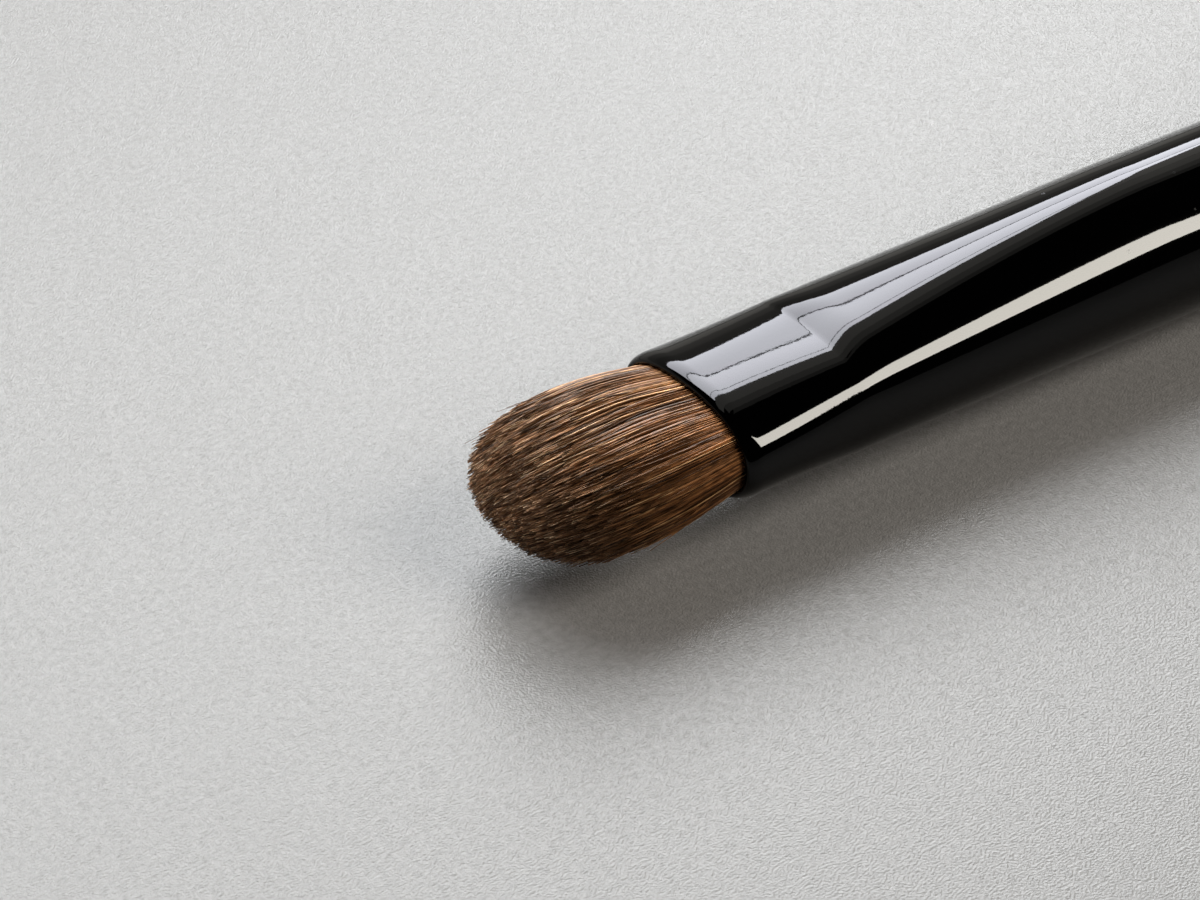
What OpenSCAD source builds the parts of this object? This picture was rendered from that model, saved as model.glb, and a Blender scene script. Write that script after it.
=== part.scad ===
// Eyeshadow brush: a domed tuft of hair in a flattened metal ferrule on a turned, lacquered handle.
// The brush lies along X with its hair towards -X and its wide side level.
// The origin is under the middle of its length, on the surface that the barrel rests on.
// Inside the modules, x is the distance from the ferrule's mouth towards the handle, on the brush's axis.

/* [Hair] */
// Length of the hair that stands out of the ferrule
tuft_out = 11.3; // [10.5:0.1:14]
// Width of the tuft where it is fullest
tuft_w = 10.8; // [9.6:0.1:11.5]
// Thickness of the tuft where it is fullest
tuft_t = 6; // [5:0.1:8]
// Distance from the mouth to where the tuft is fullest
belly_at = 2.5; // [1:0.1:3]
// Length of the rounded end of the tuft
dome_len = 6.3; // [4:0.1:6.8]
// How far the tip sags below the brush's axis
tip_sag = 0.3; // [0:0.05:0.6]
// Thickness of a strand at its root
strand_d = 0.28; // [0.15:0.01:0.3]
// Space from the middle of one strand to the next, at the root
strand_space = 0.35; // [0.35:0.01:0.4]

/* [Ferrule] */
// Width of the ferrule at its mouth
mouth_w = 10.6; // [10.2:0.1:11.4]
// Thickness of the ferrule at its mouth
mouth_t = 5.72; // [5.4:0.02:6.4]
// Width of the ferrule at its crease
crease_w = 9.8; // [9.4:0.1:10.4]
// Thickness of the ferrule at its crease
crease_t = 6.1; // [5.8:0.02:6.8]
// Length of the part that is pressed flat, from the mouth to the crease
flat_len = 7.5; // [6.5:0.1:10]
// How far each wide face rises right behind the crease
shoulder_rise = 0.28; // [0:0.02:0.4]
// Length over which it rises
shoulder_len = 2.1; // [1.6:0.1:2.6]
// Length over which the flat part turns round
blend_len = 21.5; // [18:0.5:26]
// Length of the round part that holds the handle
round_len = 9; // [7:0.5:11]
// Diameter that the round tube would have at the mouth
front_d = 9.28; // [9:0.02:9.36]
// Outer diameter at the handle's end
rear_d = 9.4; // [9:0.05:9.45]
// Thickness of the metal
wall = 0.35; // [0.2:0.05:0.45]

/* [Rolled mouth] */
// Length over which the outside rounds in to the mouth
lip_len = 0.9; // [0.7:0.05:1.4]
// How far the outside rounds in
lip_rise = 0.35; // [0.2:0.01:0.45]
// Radius of the edge that the hair comes out of
lip_edge = 0.15; // [0.08:0.01:0.2]
// Length of the narrowest part of the mouth
lip_land = 0.45; // [0.2:0.05:0.45]

/* [Handle] */
// Length of the handle that shows
handle_len = 112; // [95:1:140]
// Diameter of the barrel, the handle's fullest part
barrel_d = 9.5; // [9.5:0.1:12]
// Length of the parallel barrel
barrel_len = 26; // [15:1:40]
// Length over which the handle swells from the ferrule to the barrel
swell_len = 6; // [3:0.5:12]
// Diameter at the tail, before its rounding
tail_d = 6.4; // [5:0.1:8]
// Radius of the tail's rounded edge
tail_round = 1.4; // [0.5:0.1:2.2]
// Length of the tenon's straight part inside the ferrule
tenon_len = 9; // [7:0.5:10]
// Length of the tenon's tapered nose
nose_len = 5; // [2:0.5:5.5]
// How much the tenon's nose narrows on each side
nose_in = 0.9; // [0.4:0.1:1.2]

/* [Inside the ferrule] */
// Distance from the end of the hair's root to the crease
root_back = 1.2; // [0.5:0.1:1.8]
// Length of the thread binding round the root
binding_len = 2.4; // [1:0.1:3]
// Thickness of the thread binding
binding_t = 0.3; // [0.2:0.05:0.5]
// Length of the glue plug behind the root
plug_len = 6; // [5:0.5:7]
// Thickness of the glue between the tenon and the ferrule, on each side
tenon_glue_t = 0.17; // [0.1:0.01:0.25]
// Clearance between pieces that are fitted into each other
fit_gap = 0.03; // [0.02:0.01:0.05]

/* [Hidden] */
// Powers of the ferrule's section at its mouth, its crease and behind the rise, where 2 is an ellipse
mouth_power = 2.36;
crease_power = 2.9;
shoulder_power = 2.57;
// Power of the curve by which the flat part gets its section from the mouth to the crease
press_bend = 2;
// Powers of the curves by which the sizes and the section behind the crease turn round
blend_power = 1.375;
rounding_power = 2.17;
// Power of the tuft's rounded end
dome_power = 2.57;
// Power of the curve by which the handle tapers
taper_power = 1.6;
// How much the strands draw together at their tips, as a share of their spread
tip_draw_share = 0.05;
// How much shorter a strand may be than its neighbours, as a share of the rounded end
short_share = 0.09;
// How far a strand may lean, as a share of the space between strands
lean_share = 0.22;
// Where a strand starts to thin, as a share of its way from the belly to its tip
thin_share = 0.62;
// A strand's thickness at its root, its belly and where it starts to thin
strand_shares = [1, 1, 0.8];
// The most of the space between strands that a strand may fill
cell_share = 0.9;
// Seeds of the strands' lengths and leans
length_seed = 7;
lean_seed = 19;
// Sides of the ferrule and of what fits in it
sides = 48;
lip_steps = 4;
shoulder_steps = 3;
blend_steps = 4;
swell_steps = 5;
taper_steps = 12;
round_steps = 4;
$fn = 96;

ferrule_len = flat_len + blend_len + round_len;
brush_len = tuft_out + ferrule_len + handle_len;
mouth_x = tuft_out - brush_len / 2;
axis_z = barrel_d / 2;
mouth_inset = lip_rise + lip_edge;
bore_inset = wall + fit_gap;
waist_inset = bore_inset + binding_t + fit_gap;
root_end = flat_len - root_back;
binding_start = root_end - binding_len;
plug_end = root_end + plug_len;
blend_end = flat_len + blend_len;
tenon_gap = tenon_glue_t + fit_gap;
taper_start = ferrule_len + swell_len + barrel_len;
taper_len = handle_len - swell_len - barrel_len - tail_round;
strand_points = 10;
tiny = 1e-9;

// At a distance from the mouth: the way to the crease, the rise behind it and the blend that is left

function to_crease(x) = min(1, x / flat_len);
function shoulder(x) = 1 - pow(max(0, 1 - max(0, x - flat_len) / shoulder_len), 2);
function blend_left(x) = 1 - min(1, max(0, (x - flat_len) / blend_len));

// Half sizes and power of the ferrule's outer section at a distance from the mouth

function tube_r(x) = (front_d + (rear_d - front_d) * x / ferrule_len) / 2;
function mix(a, b, share) = a + (b - a) * share;
function pressed_w(x) = mix(mouth_w, crease_w, to_crease(x)) / 2;
function pressed_t(x) = mix(mouth_t, crease_t, to_crease(x)) / 2 + shoulder_rise * shoulder(x);
function half_w(x) = mix(tube_r(x), pressed_w(x), pow(blend_left(x), blend_power));
function half_t(x) = mix(tube_r(x), pressed_t(x), pow(blend_left(x), blend_power));
function pressed_power(x) =
    mix(mouth_power, crease_power, pow(to_crease(x), press_bend))
    + (shoulder_power - crease_power) * shoulder(x);
function power(x) = mix(2, pressed_power(x), pow(blend_left(x), rounding_power));

// Distances at which the ferrule and what lies in it have a section, so that their walls keep together

root_distances = [binding_start, root_end, flat_len];
shoulder_distances = [for (k = [1:shoulder_steps]) flat_len + shoulder_len * k / shoulder_steps];
blend_distances = [for (k = [1:blend_steps]) mix(plug_end, blend_end, k / blend_steps)];

// A point of the unit disc, moved to an oval section of the given half sizes and power

function oval(q, w, t, bulge) =
    let (r = norm(q), c = q[0] / max(r, tiny), s = q[1] / max(r, tiny))
    [w * r * sign(c) * pow(abs(c), 2 / bulge), t * r * sign(s) * pow(abs(s), 2 / bulge)];

// The ferrule's section at x, drawn in by inset, as a ring of points or at one point of the disc

function section_point(q, x, inset) =
    let (p = oval(q, half_w(x) - inset, half_t(x) - inset, power(x)))
    [x, p[0], p[1]];
function section_ring(x, inset) =
    [for (i = [0:sides - 1]) section_point([cos(360 * i / sides), sin(360 * i / sides)], x, inset)];

// Faces between two rings of n points, the second one nearer to the handle

function band(a, b, n) =
    [for (i = [0:n - 1]) let (k = (i + 1) % n) each [[a + i, b + i, b + k], [a + i, b + k, a + k]]];

// A ring-shaped solid through a closed loop of [distance, inset] pairs

module hollow_loft(profile) {
    count = len(profile);
    polyhedron(
        points = [for (p = profile) each section_ring(p[0], p[1])],
        faces = [for (j = [0:count - 1]) each band(j * sides, ((j + 1) % count) * sides, sides)]
    );
}

// A solid with flat ends through a row of [distance, inset] pairs

module solid_loft(profile) {
    last = (len(profile) - 1) * sides;
    polyhedron(
        points = [for (p = profile) each section_ring(p[0], p[1])],
        faces = concat(
            [for (j = [0:len(profile) - 2]) each band(j * sides, (j + 1) * sides, sides)],
            [[for (i = [0:sides - 1]) i], [for (i = [sides - 1:-1:0]) last + i]]
        )
    );
}

// Places what is built from the mouth along the brush's axis

module on_axis() {
    translate([mouth_x, 0, axis_z]) children();
}

// Half sizes of the tuft at a distance out of the mouth, and how far out a strand ends

root_w = half_w(lip_edge) - mouth_inset - fit_gap;
root_t = half_t(lip_edge) - mouth_inset - fit_gap;
strands_wide = round(2 * root_w / strand_space);
strands_thick = round(2 * root_t / strand_space);
function fullness(h) = sin(90 * min(1, max(0, h / belly_at)));
function draw(h) = 1 - tip_draw_share * pow(max(0, h / tuft_out), 2);
function tuft_half_w(h) = (root_w + (tuft_w / 2 - root_w) * fullness(h)) * draw(h);
function tuft_half_t(h) = (root_t + (tuft_t / 2 - root_t) * fullness(h)) * draw(h);
function strand_end(r) = tuft_out - dome_len * (1 - pow(1 - pow(min(r, 1), dome_power), 1 / dome_power));

// The square from -1 to 1 mapped to the unit disc, so that a square grid of strands fills the oval

function disc(u, v) = [u * sqrt(1 - v * v / 2), v * sqrt(1 - u * u / 2)];
function tuft_point(u, v, h) =
    let (p = oval(disc(u, v), tuft_half_w(h), tuft_half_t(h), mouth_power))
    [-h, p[0], p[1] - tip_sag * pow(max(0, h / tuft_out), 2)];

// The ten points of one strand: three triangles and the tip

strand_u = min(strand_d / 2 / root_w, cell_share / strands_wide);
strand_v = min(strand_d / 2 / root_t, cell_share / strands_thick);
function strand(u, v, short, lean) =
    let (
        end = strand_end(norm(disc(u, v))) - dome_len * short_share * short,
        levels = [-lip_edge, belly_at, belly_at + (end - belly_at) * thin_share],
        lean_u = lean[0] * lean_share / strands_wide,
        lean_v = lean[1] * lean_share / strands_thick
    )
    concat(
        [for (n = [0:2], a = [210, 330, 450])
            let (away = max(0, levels[n] / end))
            tuft_point(
                u + lean_u * away + strand_u * strand_shares[n] * cos(a),
                v + lean_v * away + strand_v * strand_shares[n] * sin(a),
                levels[n]
            )],
        [tuft_point(u + lean_u, v + lean_v, end)]
    );

// The seven faces between a cell's corners and its strand, and the fifteen of the strand

function cell_faces(c00, c10, c11, c01, s) =
    [
        [c00, c10, s], [c10, s + 1, s], [c10, c11, s + 1], [c11, s + 2, s + 1],
        [c11, c01, s + 2], [c01, s, s + 2], [c01, c00, s]
    ];
function strand_faces(s) =
    concat(
        [for (n = [0:1], i = [0:2])
            let (a = s + 3 * n, k = (i + 1) % 3)
            each [[a + i, a + 3 + k, a + 3 + i], [a + i, a + k, a + 3 + k]]],
        [for (i = [0:2]) [s + 6 + i, s + 6 + (i + 1) % 3, s + 9]]
    );

// The hair: strands that rise from a bound root, which fills the ferrule's mouth

module hair_tuft() {
    grid = (strands_wide + 1) * (strands_thick + 1);
    cells = strands_wide * strands_thick;
    around = 2 * (strands_wide + strands_thick);
    shorts = rands(0, 1, cells, length_seed);
    leans = rands(-1, 1, 2 * cells, lean_seed);
    edge = concat(
        [for (i = [0:strands_wide - 1]) [i, 0]],
        [for (j = [0:strands_thick - 1]) [strands_wide, j]],
        [for (i = [strands_wide:-1:1]) [i, strands_thick]],
        [for (j = [strands_thick:-1:1]) [0, j]]
    );
    root_rings = [
        [lip_edge + lip_land, mouth_inset + fit_gap],
        [lip_len, bore_inset],
        [binding_start, bore_inset],
        [binding_start, waist_inset],
        [root_end, waist_inset]
    ];
    first_ring = grid + cells * strand_points;
    function u_at(i) = 2 * i / strands_wide - 1;
    function v_at(j) = 2 * j / strands_thick - 1;
    function corner(i, j) = i * (strands_thick + 1) + j;
    function rim(k) = corner(edge[k % around][0], edge[k % around][1]);
    color([0.55, 0.37, 0.23])
    on_axis()
    polyhedron(
        points = concat(
            [for (i = [0:strands_wide], j = [0:strands_thick]) tuft_point(u_at(i), v_at(j), -lip_edge)],
            [for (i = [0:strands_wide - 1], j = [0:strands_thick - 1])
                let (n = i * strands_thick + j)
                each strand(u_at(i + 0.5), v_at(j + 0.5), shorts[n], [leans[2 * n], leans[2 * n + 1]])],
            [for (r = root_rings, e = edge) section_point(disc(u_at(e[0]), v_at(e[1])), r[0], r[1])]
        ),
        faces = concat(
            [for (i = [0:strands_wide - 1], j = [0:strands_thick - 1])
                let (s = grid + (i * strands_thick + j) * strand_points)
                each concat(
                    cell_faces(corner(i, j), corner(i + 1, j), corner(i + 1, j + 1), corner(i, j + 1), s),
                    strand_faces(s)
                )],
            [for (k = [0:around - 1])
                let (a = first_ring + k, b = first_ring + (k + 1) % around)
                each [[rim(k), a, b], [rim(k), b, rim(k + 1)]]],
            [for (r = [0:len(root_rings) - 2])
                each band(first_ring + r * around, first_ring + (r + 1) * around, around)],
            [[for (k = [around - 1:-1:0]) first_ring + (len(root_rings) - 1) * around + k]]
        )
    );
}

// The thread wound round the waist of the hair's root

module hair_binding() {
    color([0.86, 0.82, 0.72])
    on_axis()
    hollow_loft([
        [binding_start + fit_gap, bore_inset],
        [root_end, bore_inset],
        [root_end, bore_inset + binding_t],
        [binding_start + fit_gap, bore_inset + binding_t]
    ]);
}

// The plug of glue that was poured in behind the root

module root_glue() {
    color([0.78, 0.62, 0.3])
    on_axis()
    solid_loft([for (x = concat([root_end, flat_len], shoulder_distances, [plug_end])) [x, bore_inset]]);
}

// The metal ferrule: a tube whose front is pressed flat, with a crease where the pressing ends

module ferrule() {
    along = concat(root_distances, shoulder_distances, [plug_end], blend_distances, [ferrule_len]);
    count = len(along);
    function lip_angle(k) = 90 * (1 - k / lip_steps);
    outside = concat(
        [for (k = [0:lip_steps])
            [lip_len * (1 - sin(lip_angle(k))), lip_rise * (1 - cos(lip_angle(k)))]],
        [for (x = along) [x, 0]]
    );
    inside = concat(
        [for (k = [count - 1:-1:0]) [along[k], wall]],
        [
            [lip_len, wall],
            [lip_edge + lip_land, mouth_inset],
            [lip_edge, mouth_inset],
            [lip_edge * (1 - cos(45)), lip_rise + lip_edge * sin(45)]
        ]
    );
    color([0.05, 0.05, 0.055])
    on_axis()
    hollow_loft(concat(outside, inside));
}

// Turns an outline of [radius, distance] points about the brush's axis

module turned(outline) {
    on_axis()
    rotate([0, 90, 0])
    rotate_extrude()
    polygon(outline);
}

// The glue film between the tenon and the ferrule's round part

module tenon_glue() {
    start = ferrule_len - round_len;
    color([0.78, 0.62, 0.3])
    turned([
        [tube_r(start) - wall - tenon_gap, start],
        [tube_r(start) - bore_inset, start],
        [tube_r(ferrule_len) - bore_inset, ferrule_len],
        [tube_r(ferrule_len) - wall - tenon_gap, ferrule_len]
    ]);
}

// The turned wooden handle, with its tenon, its parallel barrel and its flat-ended tail

module handle() {
    tenon_start = ferrule_len - tenon_len;
    tail_start = ferrule_len + handle_len - tail_round;
    tail_r = tail_d / 2;
    swell_r = (barrel_d - rear_d) / 2;
    function tenon_r(x) = tube_r(x) - wall - tenon_gap;
    function swell(k) = swell_r * (1 - cos(180 * k / swell_steps)) / 2;
    function taper(k) = (barrel_d / 2 - tail_r) * pow(k / taper_steps, taper_power);
    function round_angle(k) = 90 * k / round_steps;
    color([0.03, 0.03, 0.035])
    turned(concat(
        [
            [0, tenon_start - nose_len],
            [tenon_r(tenon_start) - nose_in, tenon_start - nose_len],
            [tenon_r(tenon_start), tenon_start],
            [tenon_r(ferrule_len), ferrule_len],
            [rear_d / 2, ferrule_len]
        ],
        [for (k = [1:swell_steps])
            [rear_d / 2 + swell(k), ferrule_len + swell_len * k / swell_steps]],
        [for (k = [0:taper_steps])
            [barrel_d / 2 - taper(k), taper_start + taper_len * k / taper_steps]],
        [for (k = [1:round_steps])
            [
                tail_r - tail_round * (1 - cos(round_angle(k))),
                tail_start + tail_round * sin(round_angle(k))
            ]],
        [[0, tail_start + tail_round]]
    ));
}

handle();
ferrule();
hair_tuft();
hair_binding();
root_glue();
tenon_glue();
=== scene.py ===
"""Eyeshadow brush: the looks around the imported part, in metres and in its frame.

The brush lies along X with its hair towards -X. Distances from the ferrule's mouth are counted towards
the handle, and heights of the hair from the mouth towards its tip.
"""

import math

import bpy
import numpy as np
from mathutils import Matrix, Vector


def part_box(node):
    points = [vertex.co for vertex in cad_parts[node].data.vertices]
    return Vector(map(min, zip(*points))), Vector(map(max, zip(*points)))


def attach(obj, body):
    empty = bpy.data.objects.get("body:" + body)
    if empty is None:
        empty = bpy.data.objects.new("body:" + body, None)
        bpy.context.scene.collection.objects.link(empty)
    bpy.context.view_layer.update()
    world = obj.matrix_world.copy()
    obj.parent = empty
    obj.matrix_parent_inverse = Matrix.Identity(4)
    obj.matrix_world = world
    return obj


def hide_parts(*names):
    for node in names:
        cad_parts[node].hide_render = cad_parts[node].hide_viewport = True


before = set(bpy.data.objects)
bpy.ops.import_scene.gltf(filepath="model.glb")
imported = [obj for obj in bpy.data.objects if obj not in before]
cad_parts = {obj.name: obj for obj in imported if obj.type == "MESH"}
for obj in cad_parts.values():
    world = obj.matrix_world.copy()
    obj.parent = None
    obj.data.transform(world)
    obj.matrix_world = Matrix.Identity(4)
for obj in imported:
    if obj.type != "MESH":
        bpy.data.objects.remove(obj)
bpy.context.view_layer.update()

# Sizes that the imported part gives

FERRULE_LOW, FERRULE_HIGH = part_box("ferrule")
HANDLE_LOW, HANDLE_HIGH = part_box("handle")
TUFT_LOW, TUFT_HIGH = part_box("hair_tuft")
BINDING_LOW, BINDING_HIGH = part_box("hair_binding")
MOUTH_X = FERRULE_LOW.x
AXIS_Z = (FERRULE_LOW.z + FERRULE_HIGH.z) / 2
FERRULE_LEN = FERRULE_HIGH.x - MOUTH_X
REAR_D = FERRULE_HIGH.z - FERRULE_LOW.z
BARREL_D = 2 * (AXIS_Z - HANDLE_LOW.z)
HANDLE_END = HANDLE_HIGH.x - MOUTH_X
TENON_START = HANDLE_LOW.x - MOUTH_X
TUFT_OUT = MOUTH_X - TUFT_LOW.x + 0.0002
ROOT_DEEP = TUFT_HIGH.x - MOUTH_X

# The ferrule's other sizes

MOUTH_W = 0.0106
MOUTH_T = 0.00572
CREASE_W = 0.0098
CREASE_T = 0.0061
SHOULDER_RISE = 0.00028
SHOULDER_LEN = 0.0021
FLAT_LEN = 0.0075
BLEND_LEN = 0.0215
FRONT_D = 0.00928
WALL = 0.00035
LIP_LEN = 0.0009
LIP_RISE = 0.00035
LIP_EDGE = 0.00015
LIP_LAND = 0.00045
MOUTH_INSET = LIP_RISE + LIP_EDGE
FIT_GAP = 0.00003
MOUTH_POWER = 2.36
CREASE_POWER = 2.9
SHOULDER_POWER = 2.57
PRESS_BEND = 2
BLEND_POWER = 1.375
ROUNDING_POWER = 2.17
CREASE_SOFT = 0.0002
REAR_ROUND = 0.00006

# The handle's other sizes

SWELL_LEN = 0.006
BARREL_LEN = 0.026
TAIL_D = 0.0064
TAIL_ROUND = 0.0014
TAPER_POWER = 1.6
SHOULDER_ROUND = 0.00012
TENON_LEN = 0.009
TENON_GAP = 0.0002
NOSE_IN = 0.0009

# The hair

TUFT_W = 0.0108
TUFT_T = 0.0059
BELLY_AT = 0.005
DOME_LEN = 0.0063
DOME_POWER = 2.57
TIP_SAG = 0.00045
SAG_POWER = 1.3
WAIST_INSET = 0.00071
HAIR_D = 0.000092
STRANDS_PER_LAYER = 2700
LAYERS = ("core", "middle", "outer")
CLUMPS = 1500
CLUMP_PULL = 0.38
CLUMP_LEAN = 0.00012
CLUMP_SHORT = 0.0003
CONVERGE_SHARE = 0.3
SHORT_LEN = 0.0015
WAVE_D = 0.00009
WAVE_TURNS = (0.6, 1.6)
CROSS_LEAN = 0.00022
SINK_LEAN = 0.0001
PULL_POWER = 1.3
CROSS_POWER = 1.2
LEAN_POWER = 2
STRAND_SIDES = 3
STRAND_JITTER = 0.006
STRAND_RIM = 0.992
CLUMP_JITTER = 0.02
CLUMP_RIM = 0.97
HAIR_D_SPREAD = (0.75, 1.2)
THIN_FROM = 0.6
THIN_BY = 0.55
THIN_POWER = 1.5
HAIR_SEED = 11
STRAY_SEED = 23
STRAY_COUNT = 650
STRAY_OUT = 0.0005
STRAY_D_SHARE = 0.6
STRAY_ROOTS = (0.6, 0.99)
STRAY_LENGTHS = (0.5, 1.05)
GOLDEN_ANGLE = math.pi * (3 - math.sqrt(5))
HAIR_LEVELS = (0.07, 0.16, 0.26, 0.38, 0.5, 0.62, 0.74, 0.86, 1.0)
THREAD_D = 0.00029
THREAD_SPACE = 0.98

# The floor and the lights. Edges of a pane are its low, high, start and end.

FLOOR_REACH = 4.0
BACK_SKEW = 0.17
FRONT_SKEW = 0.679
FRONT_RISE = 0.247
COOL = (0.93, 0.94, 1.02)
WARM = (1.0, 0.955, 0.86)
DIM = (1.0, 0.97, 0.9)
WINDOW_ENDS = (-0.25, 1.46)
WINDOW_ROWS = (
    ("low", 0.69, 1.087, 11.5),
    ("middle", 1.113, 1.74, 15.5),
    ("top", 1.77, 2.05, 15.5),
)
TABLE_WINDOW = (0.48, 2.14, -0.38, 1.75)
HAIR_WINDOW = (0.42, 1.45, -0.25, 1.46)
WALLS = (
    ("low_a", 0.02, 0.25, -3, 6, 0.45),
    ("low_b", 0.25, 0.45, -3, 6, 0.26),
    ("low_c", 0.45, 0.68, -3, 6, 0.2),
    ("side", 0.69, 2.05, 1.48, 6, 1.0),
    ("high", 2.07, 3.4, -1, 8, 0.8),
    ("top", 3.4, 6, 0, 9, 0.5),
    ("peak", 6, 12, 2, 14, 0.25),
)
ROOM_COLOUR = (0.012, 0.0115, 0.011)
GLOSS_COLOUR = (0.012, 0.012, 0.012)
BACKDROP_COLOUR = (0.6, 0.61, 0.62)

# The camera, where the photograph was taken from

CAMERA_TURN = math.radians(35.4)
CAMERA_TILT = math.radians(35.4)
CAMERA_LENS = 102.08
SENSOR_W = 36
MOUTH_DEPTH = 0.1666
MOUTH_RIGHT = 0.004157
MOUTH_DOWN = -0.001082


# Meshes


def new_piece(name, points, faces, material, node=None, sharp_deg=40):
    """A smooth-shaded piece of the object that rides on its one body."""
    mesh = bpy.data.meshes.new(name)
    mesh.from_pydata(points.tolist(), [], faces)
    mesh.shade_smooth()
    if sharp_deg:
        mesh.set_sharp_from_angle(angle=math.radians(sharp_deg))
    piece = bpy.data.objects.new(name, mesh)
    bpy.context.scene.collection.objects.link(piece)
    mesh.materials.append(material)
    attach(piece, "root")
    if node:
        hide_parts(node)
    return piece


def ring_faces(rings, sides, loop):
    """Quads between rows of ring points. With loop, the last ring joins the first."""
    faces = []
    for j in range(rings if loop else rings - 1):
        a, b = j * sides, (j + 1) % rings * sides
        for i in range(sides):
            k = (i + 1) % sides
            faces.append((a + i, b + i, b + k, a + k))
    if not loop:
        last = (rings - 1) * sides
        faces.append(tuple(range(sides)))
        faces.append(tuple(last + i for i in reversed(range(sides))))
    return faces


# The ferrule's section


def soft_corner(x, soft):
    """0 where x is negative and x where it isn't, with the corner rounded over soft on each side."""
    return np.where(np.abs(x) < soft, (x + soft) ** 2 / (4 * soft), np.maximum(x, 0))


def tube_r(x):
    return (FRONT_D + (REAR_D - FRONT_D) * x / FERRULE_LEN) / 2


def section(x):
    """Half the ferrule's outer width and thickness at x, and the power of its oval."""
    before = soft_corner(FLAT_LEN - x, CREASE_SOFT) / FLAT_LEN
    after = soft_corner(x - FLAT_LEN, CREASE_SOFT)
    shoulder = 1 - np.maximum(1 - after / SHOULDER_LEN, 0) ** 2
    left = np.maximum(1 - after / BLEND_LEN, 0)
    turned = 1 - left**BLEND_POWER
    half_w = (CREASE_W + (MOUTH_W - CREASE_W) * before) / 2
    half_t = (CREASE_T + (MOUTH_T - CREASE_T) * before) / 2 + SHOULDER_RISE * shoulder
    power = MOUTH_POWER + (CREASE_POWER - MOUTH_POWER) * (1 - before) ** PRESS_BEND
    power = power + (SHOULDER_POWER - CREASE_POWER) * shoulder
    r = tube_r(x)
    return (
        half_w + (r - half_w) * turned,
        half_t + (r - half_t) * turned,
        2 + (power - 2) * left**ROUNDING_POWER,
    )


def oval(q, half_w, half_t, power):
    """Moves points q of the unit disc to an oval section."""
    r = np.linalg.norm(q, axis=-1)
    unit = q / np.maximum(r, 1e-9)[..., None]
    bent = np.sign(unit) * np.abs(unit) ** (2 / np.asarray(power))[..., None]
    return bent[..., 0] * r * half_w, bent[..., 1] * r * half_t


def section_rings(profile, sides):
    """Rings of the ferrule's section at [distance, inset] pairs."""
    x, inset = np.array(profile).T[:, :, None]
    around = 2 * np.pi * np.arange(sides) / sides
    q = np.stack([np.cos(around), np.sin(around)], -1)
    q = np.broadcast_to(q, (len(profile), sides, 2))
    half_w, half_t, power = section(x)
    y, z = oval(q, half_w - inset, half_t - inset, power + 0 * around)
    return np.stack([MOUTH_X + x + 0 * y, y, AXIS_Z + z], -1)


def arc(centre, radii, start_deg, end_deg, steps):
    """Points of an arc in the plane of a profile, from one angle to another."""
    angles = np.radians(np.linspace(start_deg, end_deg, steps + 1))
    return [
        (centre[0] + radii[0] * math.cos(a), centre[1] + radii[1] * math.sin(a)) for a in angles
    ]


def build_ferrule(material):
    sides = 320
    lip = arc((LIP_LEN, LIP_RISE), (LIP_LEN, LIP_RISE), 180, 270, 14)
    flat = [(x, 0) for x in np.linspace(LIP_LEN, FLAT_LEN - CREASE_SOFT, 14)[1:]]
    crease = [(FLAT_LEN + CREASE_SOFT * s, 0) for s in np.linspace(-1, 1, 13)[1:]]
    blend = [
        (x, 0) for x in np.linspace(FLAT_LEN + CREASE_SOFT, FERRULE_LEN - REAR_ROUND, 90)[1:]
    ]
    rear = arc((FERRULE_LEN - REAR_ROUND, REAR_ROUND), (REAR_ROUND,) * 2, -90, 0, 3)[1:]
    inside = [(x, WALL) for x in np.linspace(FERRULE_LEN, LIP_LEN, 40)]
    edge = arc((LIP_EDGE, LIP_RISE), (LIP_EDGE, LIP_EDGE), 90, 180, 5)[:-1]
    profile = lip + flat + crease + blend + rear + inside + [(LIP_EDGE + LIP_LAND, MOUTH_INSET)]
    profile += edge
    rings = section_rings(profile, sides)
    faces = ring_faces(len(profile), sides, loop=True)
    return new_piece("ferrule_shell", rings.reshape(-1, 3), faces, material, "ferrule")


# The handle


def handle_profile():
    """[distance, radius] pairs along the handle, from the tenon's nose to the middle of the tail."""
    tenon_r = tube_r(FERRULE_LEN) - WALL - TENON_GAP
    tenon_at = FERRULE_LEN - TENON_LEN
    tenon_front = tube_r(tenon_at) - WALL - TENON_GAP
    nose = [(TENON_START, 0), (TENON_START, tenon_front - NOSE_IN), (tenon_at, tenon_front)]
    shoulder_r = REAR_D / 2 - SHOULDER_ROUND
    shoulder = [(FERRULE_LEN, tenon_r)]
    shoulder += arc(
        (FERRULE_LEN + SHOULDER_ROUND, shoulder_r), (SHOULDER_ROUND,) * 2, 180, 90, 5
    )
    swell_r = (BARREL_D - REAR_D) / 2
    swell = [
        (FERRULE_LEN + SWELL_LEN * s, REAR_D / 2 + swell_r * (1 - math.cos(math.pi * s)) / 2)
        for s in np.linspace(0, 1, 13)[1:]
    ]
    barrel_end = FERRULE_LEN + SWELL_LEN + BARREL_LEN
    taper_len = HANDLE_END - TAIL_ROUND - barrel_end
    taper_in = (BARREL_D - TAIL_D) / 2
    barrel = [(x, BARREL_D / 2) for x in np.linspace(FERRULE_LEN + SWELL_LEN, barrel_end, 9)[1:-1]]
    taper = [
        (barrel_end + taper_len * s, BARREL_D / 2 - taper_in * s**TAPER_POWER)
        for s in np.linspace(0, 1, 61)
    ]
    tail_centre = (HANDLE_END - TAIL_ROUND, TAIL_D / 2 - TAIL_ROUND)
    tail = arc(tail_centre, (TAIL_ROUND,) * 2, 90, 0, 14)[1:] + [(HANDLE_END, 0)]
    return nose + shoulder + swell + barrel + taper + tail


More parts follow.
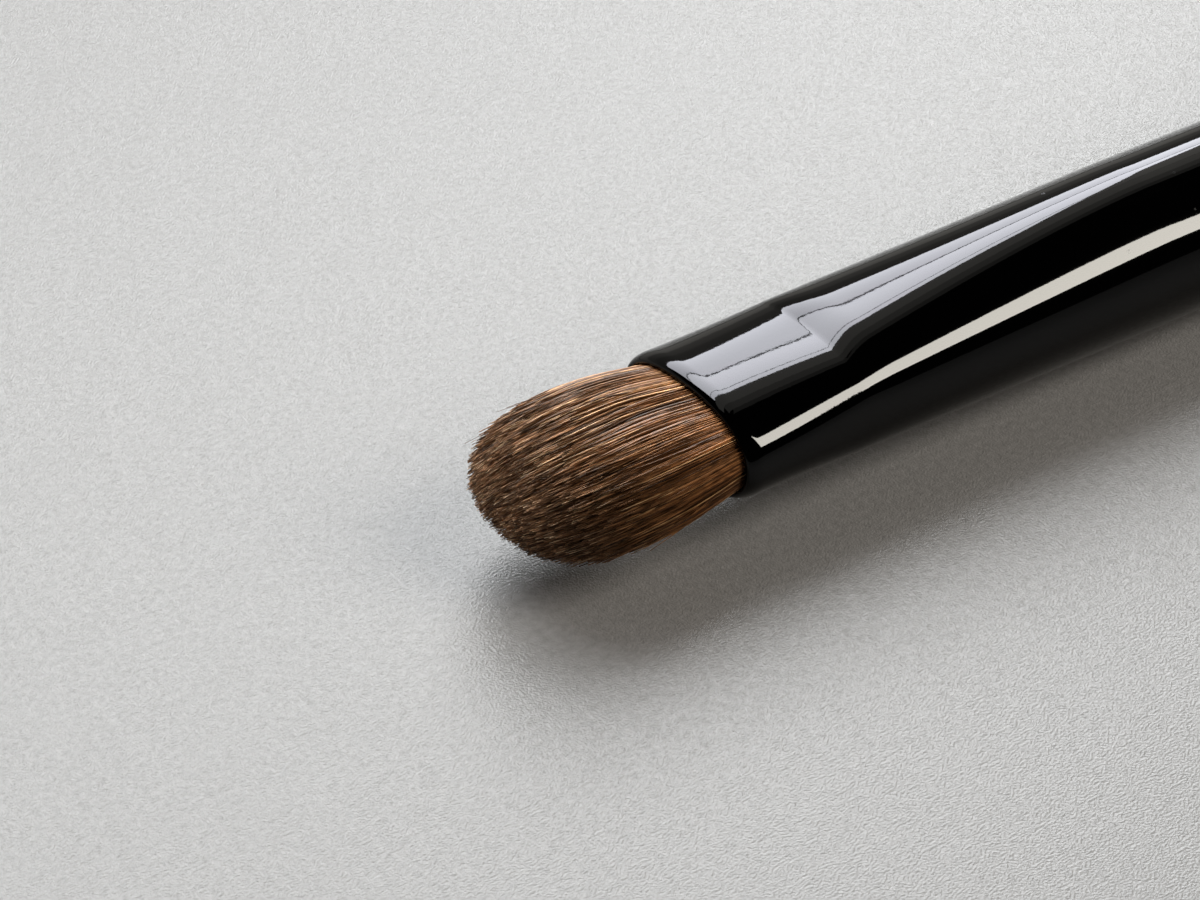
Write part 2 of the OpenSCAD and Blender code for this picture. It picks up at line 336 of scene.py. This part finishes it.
def build_handle(material):
    sides = 256
    profile = handle_profile()
    around = 2 * np.pi * np.arange(sides) / sides
    inner = profile[1:-1]
    x, r = np.array(inner).T[:, :, None]
    rings = np.stack(
        [MOUTH_X + x + 0 * around, r * np.cos(around), AXIS_Z + r * np.sin(around)], -1
    )
    faces = ring_faces(len(inner), sides, loop=False)
    return new_piece(
        "handle_turned", rings.reshape(-1, 3), faces, material, "handle", 30
    )


# The hair


def envelope(h):
    """How much of the tuft's section its rounded end leaves at a height, from 1 down to 0."""
    g = np.clip(1 - (TUFT_OUT - h) / DOME_LEN, 0, 1)
    return np.maximum(1 - g**DOME_POWER, 0) ** (1 / DOME_POWER)


def height_at(r):
    """The inverse of envelope: where the rounded end has narrowed to r."""
    return TUFT_OUT - DOME_LEN * (1 - (1 - np.minimum(r, 1) ** DOME_POWER) ** (1 / DOME_POWER))


def tuft_half(full, side, h):
    """Half the tuft's width (side 0) or thickness (side 1) at a height.

    Heights below 0 are inside the ferrule, where the hair keeps clear of the wall and its binding."""
    root = section(LIP_EDGE)[side] - MOUTH_INSET - FIT_GAP
    out = root + (full / 2 - root) * np.sin(np.pi / 2 * np.clip(h / BELLY_AT, 0, 1))
    waist = section(np.maximum(-h, LIP_EDGE))[side] - WAIST_INSET
    inside = np.where(-h > LIP_EDGE + LIP_LAND, waist, root)
    return np.where(h < 0, inside, out)


def sunflower(count, first=0, last=None):
    """Points spread evenly over the unit disc, from the middle outwards."""
    n = np.arange(first, last or count) + 0.5
    r = np.sqrt(n / count)
    return np.stack([r * np.cos(n * GOLDEN_ANGLE), r * np.sin(n * GOLDEN_ANGLE)], -1)


def within_disc(q, rim=1.0):
    r = np.linalg.norm(q, axis=-1, keepdims=True)
    return q * np.minimum(1, rim / np.maximum(r, 1e-9))


def strand_centres(q, ends, clump, rng):
    """Points along the middle of each strand, from its root inside the ferrule to its tip."""
    inside = np.array([-ROOT_DEEP, -(LIP_EDGE + LIP_LAND) * 1.01, -LIP_EDGE])
    out = ends[:, None] * np.array(HAIR_LEVELS)
    h = np.concatenate([np.broadcast_to(inside, (len(q), 3)), out], 1)
    away = np.clip(h / TUFT_OUT, 0, 1)
    pull = (CLUMP_PULL * away**PULL_POWER)[..., None]
    spread = q[:, None] + pull * (clump["centre"] - q)[:, None]
    spread = within_disc(spread) * (envelope(h) ** CONVERGE_SHARE)[..., None]
    y, z = oval(spread, tuft_half(TUFT_W, 0, h), tuft_half(TUFT_T, 1, h), MOUTH_POWER + 0 * h)
    waves = rng.uniform(0, 2 * np.pi, (2, len(q), 1))
    turns = rng.uniform(*WAVE_TURNS, (2, len(q), 1))
    sway = WAVE_D * away * np.sin(waves + 2 * np.pi * turns * away)
    outward = q * np.array([TUFT_T, TUFT_W])
    outward /= np.maximum(np.linalg.norm(outward, axis=1, keepdims=True), 1e-9)
    around = np.stack([-outward[:, 1], outward[:, 0]], -1)
    cross = around * rng.normal(0, CROSS_LEAN, (len(q), 1))
    cross -= outward * np.abs(rng.normal(0, SINK_LEAN, (len(q), 1)))
    lean = cross.T[:, :, None] * away**CROSS_POWER
    lean = lean + clump["lean"].T[:, :, None] * away**LEAN_POWER
    y = y + sway[0] + lean[0]
    z = z + sway[1] + lean[1] - TIP_SAG * away**SAG_POWER
    return np.stack([MOUTH_X - h, y, AXIS_Z + z], -1), away


def strand_mesh(centres, radii, rng):
    """Closed tubes of a few sides around the strands' middles."""
    sides = STRAND_SIDES
    count, levels = centres.shape[:2]
    turn = rng.uniform(0, 2 * np.pi, (count, 1, 1)) + 2 * np.pi * np.arange(sides) / sides
    turn = np.broadcast_to(turn, (count, levels, sides))
    points = np.repeat(centres[:, :, None], sides, 2)
    points[..., 1] += radii[..., None] * np.cos(turn)
    points[..., 2] += radii[..., None] * np.sin(turn)
    i = np.arange(sides)
    k = (i + 1) % sides
    a = np.arange(levels - 1)[:, None] * sides
    quads = np.stack([a + i, a + k, a + sides + k, a + sides + i], -1).reshape(-1, 4)
    starts = np.arange(count)[:, None, None] * levels * sides
    quads = (quads[None] + starts).reshape(-1, 4)
    root = (i[::-1] + starts[:, 0]).tolist()
    tip = ((levels - 1) * sides + i + starts[:, 0]).tolist()
    return points.reshape(-1, 3), quads.tolist() + root + tip


def strand_radii(count, levels, rng):
    """Strands keep their thickness for most of their length, then thin to a fine tip."""
    share = np.concatenate([[0, 0, 0], HAIR_LEVELS])[:levels]
    thinning = 1 - THIN_BY * np.clip((share - THIN_FROM) / (1 - THIN_FROM), 0, 1) ** THIN_POWER
    thickness = HAIR_D / 2 * rng.uniform(*HAIR_D_SPREAD, (count, 1))
    return thickness * thinning


def make_clumps(rng):
    """The locks that strands draw together in, with a lean and a shortness for each."""
    centre = sunflower(CLUMPS) + rng.normal(0, CLUMP_JITTER, (CLUMPS, 2))
    centre = within_disc(centre, CLUMP_RIM)
    return {
        "centre": centre,
        "lean": rng.normal(0, CLUMP_LEAN, (CLUMPS, 2)),
        "short": rng.uniform(0, CLUMP_SHORT, CLUMPS),
    }


def nearest(q, centres):
    return np.argmin(((q[:, None] - centres[None]) ** 2).sum(-1), axis=1)


def build_hair(material):
    """The fine strands of the whole tuft, from its middle outwards in layers."""
    rng = np.random.default_rng(HAIR_SEED)
    clumps = make_clumps(rng)
    layers = []
    total = STRANDS_PER_LAYER * len(LAYERS)
    for number, layer in enumerate(LAYERS):
        first = number * STRANDS_PER_LAYER
        q = sunflower(total, first, first + STRANDS_PER_LAYER)
        q = within_disc(q + rng.normal(0, STRAND_JITTER, q.shape), STRAND_RIM)
        near = nearest(q, clumps["centre"])
        clump = {key: value[near] for key, value in clumps.items()}
        r = np.linalg.norm(q, axis=1) ** (1 / (1 - CONVERGE_SHARE))
        ends = height_at(r) - clump["short"] - SHORT_LEN * rng.uniform(0, 1, len(q)) ** 2
        centres, away = strand_centres(q, ends, clump, rng)
        radii = strand_radii(len(q), away.shape[1], rng)
        points, faces = strand_mesh(centres, radii, rng)
        layers.append(new_piece(f"hair_{layer}", points, faces, material, "hair_tuft", 0))
    return layers


def build_stray_hair(material):
    """Fine single hairs that stand a little out of the tuft's outline."""
    rng = np.random.default_rng(STRAY_SEED)
    around = rng.uniform(0, 2 * np.pi, STRAY_COUNT)
    out = np.stack([np.cos(around), np.sin(around)], -1)
    q = out * rng.uniform(*STRAY_ROOTS, (STRAY_COUNT, 1))
    share = rng.uniform(*STRAY_LENGTHS, STRAY_COUNT)
    ends = np.minimum(share * height_at(np.linalg.norm(q, axis=1)), TUFT_OUT)
    reach = STRAY_OUT * rng.uniform(0.2, 1, STRAY_COUNT) ** 2 * (TUFT_OUT / ends) ** 2
    clump = {"centre": q, "lean": out * reach[:, None]}
    centres, away = strand_centres(q, ends, clump, rng)
    radii = STRAY_D_SHARE * strand_radii(STRAY_COUNT, away.shape[1], rng)
    points, faces = strand_mesh(centres, radii, rng)
    return new_piece("hair_stray", points, faces, material, "hair_tuft", 0)


# The thread round the hair's root


def build_thread(material):
    """Thread wound round the hair's root, turn beside turn, as one closed tube."""
    sides, steps = 8, 96
    start, end = BINDING_LOW.x - MOUTH_X, BINDING_HIGH.x - MOUTH_X
    turns = int((end - start) / THREAD_D)
    pitch = (end - start) / turns
    inset = WAIST_INSET - THREAD_D / 2 - FIT_GAP
    share = np.arange(turns * steps + 1) / steps
    x = start + pitch / 2 + (end - start - pitch) * share / turns
    centres = section_rings([(d, inset) for d in x], steps)
    centres = centres[np.arange(len(x)), np.arange(len(x)) % steps]
    outward = centres - np.array([0, 0, AXIS_Z])
    outward[:, 0] = 0
    outward /= np.linalg.norm(outward, axis=1, keepdims=True)
    around = 2 * np.pi * np.arange(sides) / sides
    radius = pitch / 2 * THREAD_SPACE
    rings = centres[:, None] + radius * np.cos(around)[:, None] * outward[:, None]
    rings[..., 0] += radius * np.sin(around)
    faces = ring_faces(len(x), sides, loop=False)
    return new_piece(
        "thread_winding", rings.reshape(-1, 3), faces, material, "hair_binding", 0
    )


# Materials


class Look:
    """A material of one Principled shader, with short ways to add nodes and join them."""

    def __init__(self, name, **values):
        self.material = bpy.data.materials.new(name)
        self.material.use_nodes = True
        self.tree = self.material.node_tree
        self.shader = self.tree.nodes["Principled BSDF"]
        for key, value in values.items():
            self.shader.inputs[key.replace("_", " ")].default_value = value

    def node(self, kind, inputs=None, **settings):
        node = self.tree.nodes.new(f"ShaderNode{kind}")
        for key, value in settings.items():
            setattr(node, key, value)
        for key, value in (inputs or {}).items():
            self.put(node.inputs[key], value)
        return node

    def put(self, socket, value):
        """Joins value to a socket if it is an output, and otherwise sets it."""
        if isinstance(value, bpy.types.NodeSocket):
            self.tree.links.new(value, socket)
        else:
            socket.default_value = value

    def place(self, scale=(1, 1, 1)):
        """Places on the object in metres, times scale."""
        at = self.node("TexCoord").outputs["Object"]
        return self.node("Mapping", {"Vector": at, "Scale": scale}).outputs["Vector"]

    def noise(self, scale, detail=2.0, stretch=(1, 1, 1)):
        return self.node(
            "TexNoise", {"Vector": self.place(stretch), "Scale": scale, "Detail": detail}
        ).outputs["Fac"]

    def span(self, value, low, high, to_low=0.0, to_high=1.0):
        inputs = {"Value": value, "From Min": low, "From Max": high}
        return self.node(
            "MapRange", {**inputs, "To Min": to_low, "To Max": to_high}, clamp=True
        ).outputs["Result"]

    def ramp(self, factor, stops):
        node = self.node("ValToRGB", {"Fac": factor})
        elements = node.color_ramp.elements
        while len(elements) < len(stops):
            elements.new(0.5)
        for element, (at, colour) in zip(elements, stops):
            element.position = at
            element.color = (*colour, 1)
        return node.outputs["Color"]

    def mix(self, factor, a, b, blend_type="MIX"):
        node = self.node("Mix", data_type="RGBA", blend_type=blend_type)
        for socket, value in ((node.inputs[0], factor), (node.inputs[6], a), (node.inputs[7], b)):
            self.put(socket, value)
        return node.outputs[2]

    def math(self, operation, a, b=0.0):
        node = self.node("Math", operation=operation)
        self.put(node.inputs[0], a)
        self.put(node.inputs[1], b)
        return node.outputs[0]

    def bump(self, height, strength, distance):
        return self.node(
            "Bump", {"Height": height, "Strength": strength, "Distance": distance}
        ).outputs["Normal"]

    def shade(self, colour, value):
        """A colour made lighter or darker by a value."""
        grey = self.node("CombineColor", {"Red": value, "Green": value, "Blue": value})
        return self.mix(1.0, colour, grey.outputs["Color"], "MULTIPLY")

    def place_x(self):
        return self.node("SeparateXYZ", {"Vector": self.place()}).outputs["X"]

    def drive(self, name, value):
        self.put(self.shader.inputs[name], value)


def hair_look():
    """Brown hair with paler tips, uneven from strand to strand, lock to lock and along a strand; its
    palest few strands are painted cream as a painted highlight standing in for glints.
    """
    look = Look("brush_hair", Roughness=0.45, Specular_IOR_Level=0.26)
    along = look.span(look.place_x(), MOUTH_X, MOUTH_X - TUFT_OUT)
    base = look.ramp(
        along,
        [
            (0.0, (0.31, 0.14, 0.056)),
            (0.3, (0.25, 0.112, 0.044)),
            (0.62, (0.27, 0.134, 0.062)),
            (1.0, (0.54, 0.3, 0.165)),
        ],
    )
    island = look.node("NewGeometry").outputs["Random Per Island"]
    # Tone from strand to strand; the top stop paints the palest few strands cream as painted glints, a
    # painted highlight, and the rest is the strands' own uneven tone.
    single = look.ramp(
        island,
        [
            (0.0, (0.2, 0.19, 0.18)),
            (0.3, (0.55, 0.53, 0.51)),
            (0.62, (0.95, 0.95, 0.95)),
            (0.88, (1.35, 1.4, 1.42)),
            (0.97, (2.2, 2.9, 3.5)),
        ],
    )
    colour = look.mix(1.0, base, single, "MULTIPLY")
    lock = look.span(look.noise(900, 2, (0.12, 1, 1)), 0.32, 0.68, 0.72, 1.2)
    # Short dashes along each strand, which also cut the painted glints into short lengths.
    fine = look.span(look.noise(7000, 1, (0.2, 1, 1)), 0.3, 0.7, 0.5, 1.5)
    look.drive("Base Color", look.shade(look.shade(colour, lock), fine))
    return look.material


def black_look(name, roughness, peel):
    """Black gloss with a faint unevenness, a few specks of dust and finest scratches."""
    look = Look(name, Specular_IOR_Level=0.25)
    dust = look.node("TexVoronoi", {"Vector": look.place(), "Scale": 700.0}).outputs["Distance"]
    patches = look.span(look.noise(160, 1), 0.6, 0.66)
    speck = look.math("MULTIPLY", look.span(dust, 0.10, 0.06), patches)
    look.drive("Base Color", look.mix(speck, (0.0008, 0.0008, 0.0009, 1), (0.11, 0.11, 0.11, 1)))
    scratch = look.span(look.noise(1400, 1, (0.05, 1, 0.6)), 0.70, 0.74)
    rough = look.math("ADD", look.math("MULTIPLY", speck, 0.4), roughness)
    look.drive("Roughness", look.math("ADD", rough, look.math("MULTIPLY", scratch, 0.06)))
    crease_x = MOUTH_X + FLAT_LEN
    pressed = look.span(look.place_x(), crease_x + SHOULDER_LEN, crease_x, 0.55, 1.0)
    wave = look.math("MULTIPLY", look.noise(3600, 2), pressed)
    look.drive("Normal", look.bump(wave, 1.0, peel))
    return look.material


def thread_look():
    look = Look("root_thread", Roughness=0.8, Sheen_Weight=0.3)
    twist = look.noise(5200, 3, (1, 0.35, 0.35))
    look.drive("Base Color", look.ramp(twist, [(0.3, (0.55, 0.5, 0.4)), (0.7, (0.8, 0.76, 0.66))]))
    look.drive("Normal", look.bump(twist, 0.6, 0.00003))
    return look.material


def glue_look():
    look = Look("hard_glue", Coat_Weight=0.4)
    cloud = look.noise(600, 3)
    look.drive("Base Color", look.ramp(cloud, [(0.3, (0.5, 0.33, 0.12)), (0.7, (0.72, 0.56, 0.28))]))
    look.drive("Roughness", look.span(cloud, 0.3, 0.7, 0.25, 0.45))
    look.drive("Normal", look.bump(look.noise(2500, 2), 0.3, 0.00002))
    return look.material


def floor_look():
    look = Look("pale_table", Specular_IOR_Level=0.42)
    cloud = look.noise(2600, 3)
    darker, paler = (0.196, 0.196, 0.195), (0.248, 0.248, 0.247)
    look.drive("Base Color", look.ramp(cloud, [(0.3, darker), (0.7, paler)]))
    look.drive("Roughness", look.span(cloud, 0.3, 0.7, 0.21, 0.25))
    look.drive("Normal", look.bump(look.noise(7600, 1), 1.0, 0.00004))
    return look.material


# The floor, the lights and the camera


def build_floor(material):
    mesh = bpy.data.meshes.new("floor")
    signs = ((-1, -1), (1, -1), (1, 1), (-1, 1))
    corners = [(FLOOR_REACH * x, FLOOR_REACH * y, 0) for x, y in signs]
    mesh.from_pydata(corners, [], [(0, 1, 2, 3)])
    floor = bpy.data.objects.new("floor", mesh)
    bpy.context.scene.collection.objects.link(floor)
    mesh.materials.append(material)
    return floor


def add_lamp(name, kind, colour, **values):
    data = bpy.data.lights.new(name, kind)
    data.color = colour
    for key, value in values.items():
        setattr(data, key, value)
    lamp = bpy.data.objects.new(name, data)
    bpy.context.scene.collection.objects.link(lamp)
    lamp.visible_camera = False
    return lamp


def pane(name, side, skew, low, high, start, end, radiance, colour, rise=0.0):
    """An upright bright pane 1 m across from the brush, behind it (side 1) or before it (side -1).

    The pane's plane turns away by skew metres for each metre towards the tail, and its edges rise by
    rise. Its edges are given as heights above the brush's axis, and its ends as places along it."""
    along = Vector((1, side * skew, rise))
    facing = Vector((skew, -side, 0)).normalized()
    size = ((end - start) * along.length, (high - low) * math.hypot(1, skew) / along.length)
    lamp = add_lamp(
        name,
        "AREA",
        colour,
        shape="RECTANGLE",
        size=size[0],
        size_y=size[1],
        energy=radiance * math.pi * size[0] * size[1],
    )
    start_middle = Vector((MOUTH_X + FLAT_LEN, side, AXIS_Z + (low + high) / 2))
    lamp.location = start_middle + along * (start + end) / 2
    across = along.normalized()
    turn = Matrix((across, -facing.cross(across), -facing)).transposed()
    lamp.rotation_euler = turn.to_euler()
    lamp.visible_diffuse = False
    return lamp


def back_pane(name, low, high, start, end, radiance, colour):
    return pane(name, 1, BACK_SKEW, low, high, start, end, radiance, colour)


def soft_light(name, direction, angle_deg, energy, colour, receivers):
    """Broad light on some pieces that shines along a direction and doesn't show in the gloss."""
    lamp = add_lamp(name, "SUN", colour, energy=energy, angle=math.radians(angle_deg))
    lamp.rotation_euler = Vector(direction).to_track_quat("-Z", "Y").to_euler()
    lamp.visible_glossy = False
    lamp.light_linking.receiver_collection = receivers


def light_room(lacquered, table, hair):
    """A long window behind the brush shows in its lacquer with its bars, above and beside dim walls.

    The table and the hair are each lit by a window of their own in the same place, with soft fill
    and sky light. A second window before the brush shows in the lacquer alone."""
    for row, low, high, radiance in WINDOW_ROWS:
        glass = back_pane(f"window_{row}", low, high, *WINDOW_ENDS, radiance, COOL)
        glass.light_linking.receiver_collection = lacquered
    for name, edges, radiance, colour, receivers in (
        ("window", TABLE_WINDOW, 7.1, (0.955, 0.975, 0.98), table),
        ("window_hair", HAIR_WINDOW, 16.8, (1.0, 0.98, 0.94), hair),
    ):
        window = back_pane(name, *edges, radiance, colour)
        window.visible_diffuse = True
        window.light_linking.receiver_collection = receivers
    for part, *edges, radiance in WALLS:
        back_pane(f"wall_{part}", *edges, radiance, DIM)
    front = pane("front_window", -1, FRONT_SKEW, 0.589, 2.5, 1.17, 4.5, 27.0, WARM, FRONT_RISE)
    front.light_linking.receiver_collection = lacquered
    soft_light("fill", (-0.59, 0.55, -0.6), 30, 1.2, (1.0, 0.88, 0.72), hair)
    soft_light("table_fill", (-0.5, 0.55, -0.6), 40, 2.8, (1.0, 0.92, 0.82), table)
    soft_light("sky", (0.15, -0.5, -0.85), 30, 0.7, (1.0, 0.97, 0.93), hair)
    soft_light("table_sky", (0.35, -0.6, -0.72), 50, 0.4, COOL, table)


def light_world():
    """Dim warm room light, nearly dark in the gloss, with a pale backdrop for the camera alone."""
    world = bpy.data.worlds.new("room")
    bpy.context.scene.world = world
    world.use_nodes = True
    nodes, links = world.node_tree.nodes, world.node_tree.links
    path = nodes.new("ShaderNodeLightPath")

    def background(colour, node=None):
        node = node or nodes.new("ShaderNodeBackground")
        node.inputs["Color"].default_value = (*colour, 1)
        return node.outputs[0]

    def choose(ray, shader, ray_shader):
        mix = nodes.new("ShaderNodeMixShader")
        sockets = (path.outputs[ray], shader, ray_shader)
        for socket, output in zip(mix.inputs, sockets):
            links.new(output, socket)
        return mix.outputs[0]

    room = background(ROOM_COLOUR, nodes["Background"])
    room = choose("Is Glossy Ray", room, background(GLOSS_COLOUR))
    room = choose("Is Camera Ray", room, background(BACKDROP_COLOUR))
    links.new(room, nodes["World Output"].inputs["Surface"])


def camera_axes():
    """The camera's forward, right and down directions."""
    level = math.cos(CAMERA_TILT)
    forward = Vector(
        (level * math.sin(CAMERA_TURN), level * math.cos(CAMERA_TURN), -math.sin(CAMERA_TILT))
    )
    right = Vector((math.cos(CAMERA_TURN), -math.sin(CAMERA_TURN), 0))
    return forward, right, forward.cross(right)


def build_camera():
    forward, right, down = camera_axes()
    mouth = Vector((MOUTH_X, 0, AXIS_Z))
    data = bpy.data.cameras.new("camera")
    data.lens = CAMERA_LENS
    data.sensor_width = SENSOR_W
    data.clip_start = 0.001
    data.clip_end = 20
    camera = bpy.data.objects.new("camera", data)
    bpy.context.scene.collection.objects.link(camera)
    camera.location = mouth - MOUTH_DEPTH * forward - MOUTH_RIGHT * right - MOUTH_DOWN * down
    camera.rotation_euler = forward.to_track_quat("-Z", "Y").to_euler()
    bpy.context.scene.camera = camera


def group(name, pieces):
    """A collection outside the scene that lights are linked to."""
    collection = bpy.data.collections.new(name)
    for piece in pieces:
        collection.objects.link(piece)
    return collection


bpy.context.scene.view_settings.view_transform = "Standard"
build_camera()
light_world()
table = group("table", [build_floor(floor_look())])
lacquered = group(
    "lacquered",
    [
        build_ferrule(black_look("black_ferrule", 0.04, 0.0000012)),
        build_handle(black_look("black_lacquer", 0.05, 0.0000018)),
    ],
)
hair = hair_look()
tuft = group("tuft", build_hair(hair) + [build_stray_hair(hair), build_thread(thread_look())])
light_room(lacquered, table, tuft)
glue = glue_look()
for name in ("root_glue", "tenon_glue"):
    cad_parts[name].data.materials.clear()
    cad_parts[name].data.materials.append(glue)
